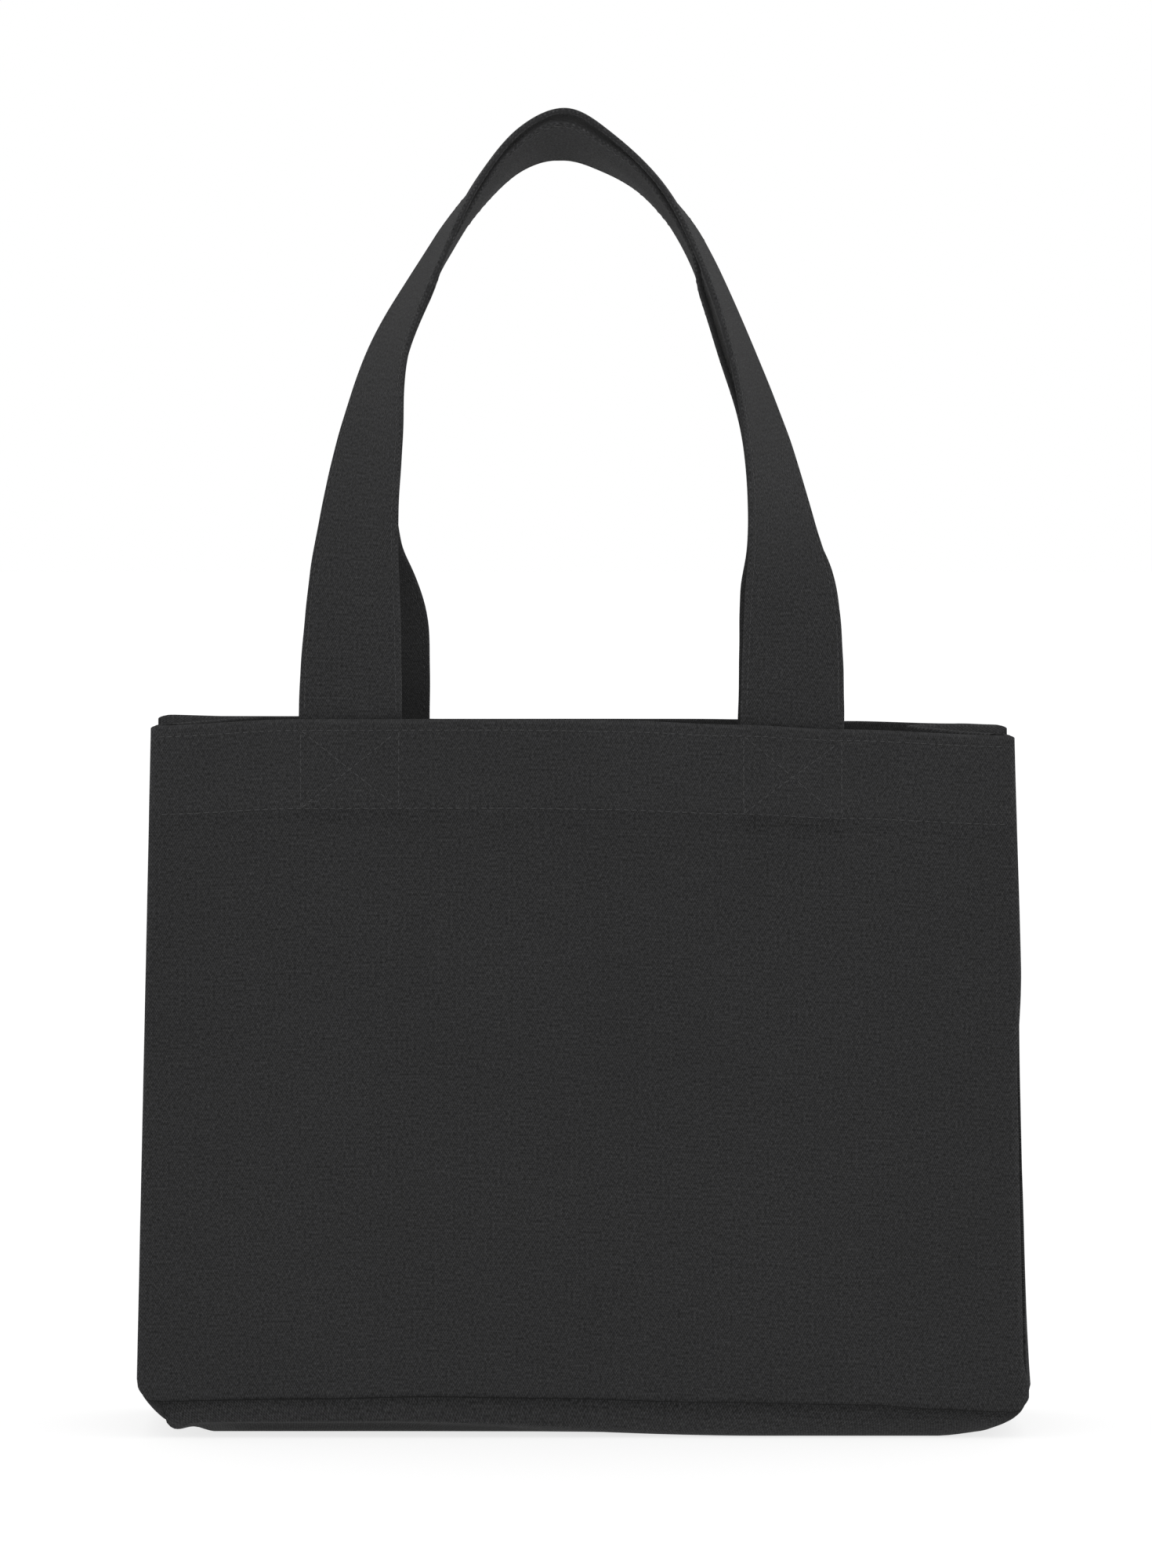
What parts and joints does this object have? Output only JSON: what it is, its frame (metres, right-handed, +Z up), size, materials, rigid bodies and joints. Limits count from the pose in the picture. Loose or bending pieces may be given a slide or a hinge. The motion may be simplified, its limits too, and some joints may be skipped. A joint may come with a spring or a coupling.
{
  "type": "canvas tote bag",
  "caption": "Open-topped gusseted bag of heavy dark canvas with a deep stitched hem and two flat strap handles that stand up and fold outwards.",
  "frame": {"origin": "on the floor under the middle of the bag: the bottom centre of its bounding box", "axes": "+Z up, the front panel faces -Y, +X to the right as the front is seen"},
  "size_m": [0.379, 0.1, 0.5684],
  "materials": {
    "canvas": "matte plain-weave cotton canvas, dyed near black",
    "canvas_inside": "matte plain-weave cotton canvas, inner face",
    "thread": "matte spun sewing thread"
  },
  "bodies": {
    "base": {"bottom_gusset": "canvas", "left_gusset": "canvas", "right_gusset": "canvas", "left_gusset_hem": "canvas_inside", "right_gusset_hem": "canvas_inside"},
    "front_side": {"front_panel": "canvas", "front_hem": "canvas_inside", "front_seam_allowance": "canvas_inside", "front_handle_end_left": "canvas", "front_handle_end_right": "canvas", "front_box_stitch_left": "thread", "front_box_stitch_right": "thread", "front_rim_stitches": "thread", "front_hem_stitches": "thread"},
    "back_side": {"back_panel": "canvas", "back_hem": "canvas_inside", "back_seam_allowance": "canvas_inside", "back_handle_end_left": "canvas", "back_handle_end_right": "canvas", "back_box_stitch_left": "thread", "back_box_stitch_right": "thread", "back_rim_stitches": "thread", "back_hem_stitches": "thread"},
    "front_strap": {"front_handle": "canvas", "front_handle_stitches_outer": "thread", "front_handle_stitches_inner": "thread"},
    "back_strap": {"back_handle": "canvas", "back_handle_stitches_outer": "thread", "back_handle_stitches_inner": "thread"}
  },
  "joints": [
    {"name": "front_panel_spread", "type": "hinge", "parent": "base", "child": "front_side", "pos_m": [0, -0.05, 0.014], "axis": [1, 0, 0], "range_deg": [0, 4.6], "deforming": ["left_gusset", "right_gusset", "left_gusset_hem", "right_gusset_hem"]},
    {"name": "back_panel_spread", "type": "hinge", "parent": "base", "child": "back_side", "pos_m": [0, 0.05, 0.014], "axis": [-1, 0, 0], "range_deg": [0, 4.6], "deforming": ["left_gusset", "right_gusset", "left_gusset_hem", "right_gusset_hem"]},
    {"name": "front_handle_swing", "type": "hinge", "parent": "front_side", "child": "front_strap", "pos_m": [0, -0.02636, 0.30195], "axis": [1, 0, 0], "range_deg": [0, 160]},
    {"name": "back_handle_swing", "type": "hinge", "parent": "back_side", "child": "back_strap", "pos_m": [0, 0.02636, 0.30195], "axis": [-1, 0, 0], "range_deg": [0, 160]}
  ]
}
